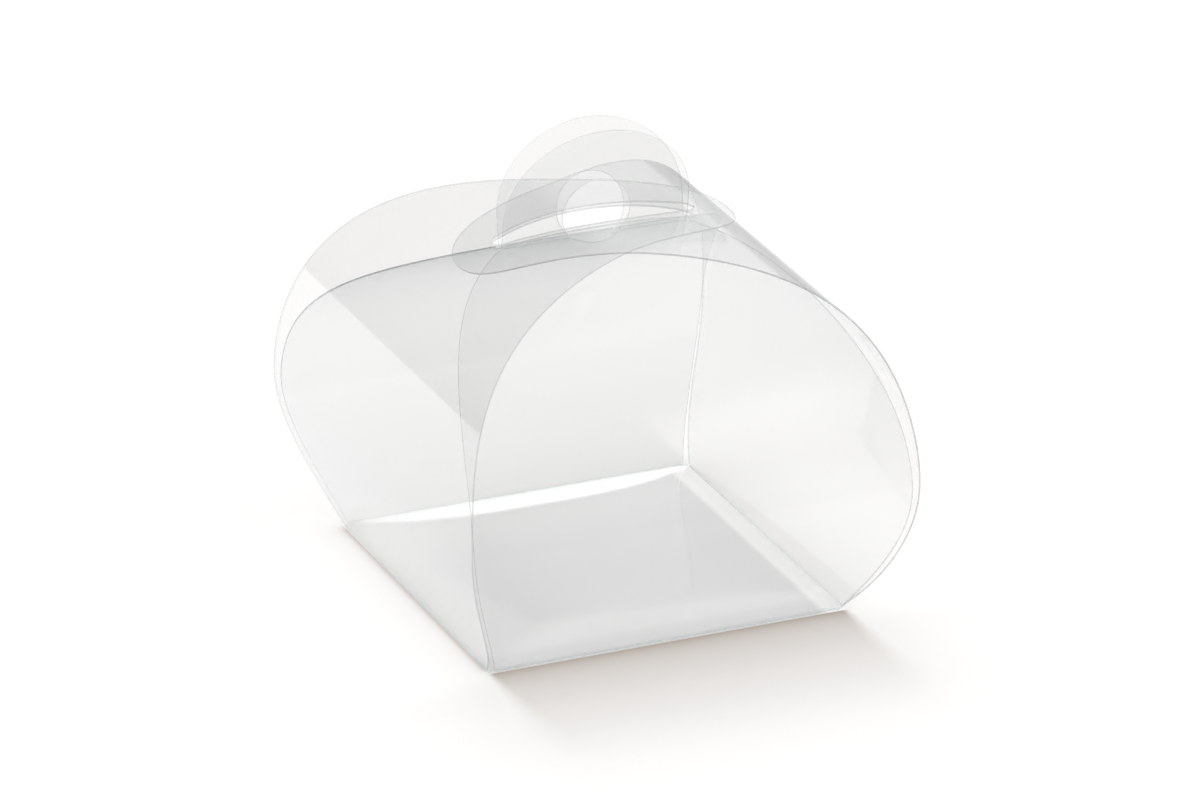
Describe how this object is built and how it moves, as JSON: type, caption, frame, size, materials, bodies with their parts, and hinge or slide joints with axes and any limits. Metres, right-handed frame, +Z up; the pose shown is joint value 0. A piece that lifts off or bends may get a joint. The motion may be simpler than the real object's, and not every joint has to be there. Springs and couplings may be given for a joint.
{
  "type": "clear cake box",
  "caption": "Square clear-film cake box with bulging panels, an arched roof of overlapping slotted tongues and an upright half-round carrying handle.",
  "frame": {"origin": "middle of the square base, on the surface the box stands on", "axes": "+Z up; X along the handle and the ridge of the roof, with the upper tongue's root at -X; the front panel faces -Y"},
  "size_m": [0.0998, 0.1088, 0.0997],
  "materials": {
    "clear_film": "clear glossy film",
    "film_crease": "scored film, slightly hazy"
  },
  "bodies": {
    "base": {"base_panel": "clear_film", "left_base_crease": "film_crease", "right_base_crease": "film_crease", "front_base_crease": "film_crease", "back_base_crease": "film_crease"},
    "left_panel": {"left_panel": "clear_film"},
    "left_tongue": {"left_tongue": "clear_film"},
    "right_panel": {"right_panel": "clear_film"},
    "right_tongue": {"right_tongue": "clear_film"},
    "front_panel": {"front_panel": "clear_film", "front_tab_crease_1": "film_crease", "front_tab_crease_2": "film_crease"},
    "front_tab": {"front_handle_tab": "clear_film"},
    "back_panel": {"back_panel": "clear_film", "back_tab_crease_1": "film_crease", "back_tab_crease_2": "film_crease"},
    "back_tab": {"back_handle_tab": "clear_film"}
  },
  "joints": [
    {"name": "left_panel_fold", "type": "hinge", "parent": "base", "child": "left_panel", "pos_m": [-0.04, 0, 0.0002], "axis": [0, -1, 0], "range_deg": [0, 60]},
    {"name": "right_panel_fold", "type": "hinge", "parent": "base", "child": "right_panel", "pos_m": [0.04, 0, 0.0002], "axis": [0, 1, 0], "range_deg": [0, 60]},
    {"name": "front_panel_fold", "type": "hinge", "parent": "base", "child": "front_panel", "pos_m": [0, -0.04, 0.0002], "axis": [1, 0, 0], "range_deg": [0, 48]},
    {"name": "back_panel_fold", "type": "hinge", "parent": "base", "child": "back_panel", "pos_m": [0, 0.04, 0.0002], "axis": [-1, 0, 0], "range_deg": [0, 48]},
    {"name": "left_tongue_bend", "type": "hinge", "parent": "left_panel", "child": "left_tongue", "pos_m": [-0.0274, 0, 0.0748], "axis": [0, -1, 0], "range_deg": [0, 60], "deforming": ["left_tongue"]},
    {"name": "right_tongue_bend", "type": "hinge", "parent": "right_panel", "child": "right_tongue", "pos_m": [0.0274, 0, 0.0742], "axis": [0, 1, 0], "range_deg": [0, 60], "deforming": ["right_tongue"]},
    {"name": "front_tab_fold", "type": "hinge", "parent": "front_panel", "child": "front_tab", "pos_m": [0, -0.0008, 0.0755], "axis": [1, 0, 0], "range_deg": [-8, 25], "stiffness_Nm_per_rad": 0.003},
    {"name": "back_tab_fold", "type": "hinge", "parent": "back_panel", "child": "back_tab", "pos_m": [0, 0.0008, 0.0755], "axis": [-1, 0, 0], "range_deg": [-8, 25], "stiffness_Nm_per_rad": 0.003}
  ],
  "couplings": [
    {"joint": "right_panel_fold", "follows": "left_panel_fold", "ratio": 1},
    {"joint": "front_panel_fold", "follows": "left_panel_fold", "ratio": 0.8},
    {"joint": "back_panel_fold", "follows": "left_panel_fold", "ratio": 0.8},
    {"joint": "left_tongue_bend", "follows": "left_panel_fold", "ratio": 1},
    {"joint": "right_tongue_bend", "follows": "left_panel_fold", "ratio": 1}
  ]
}
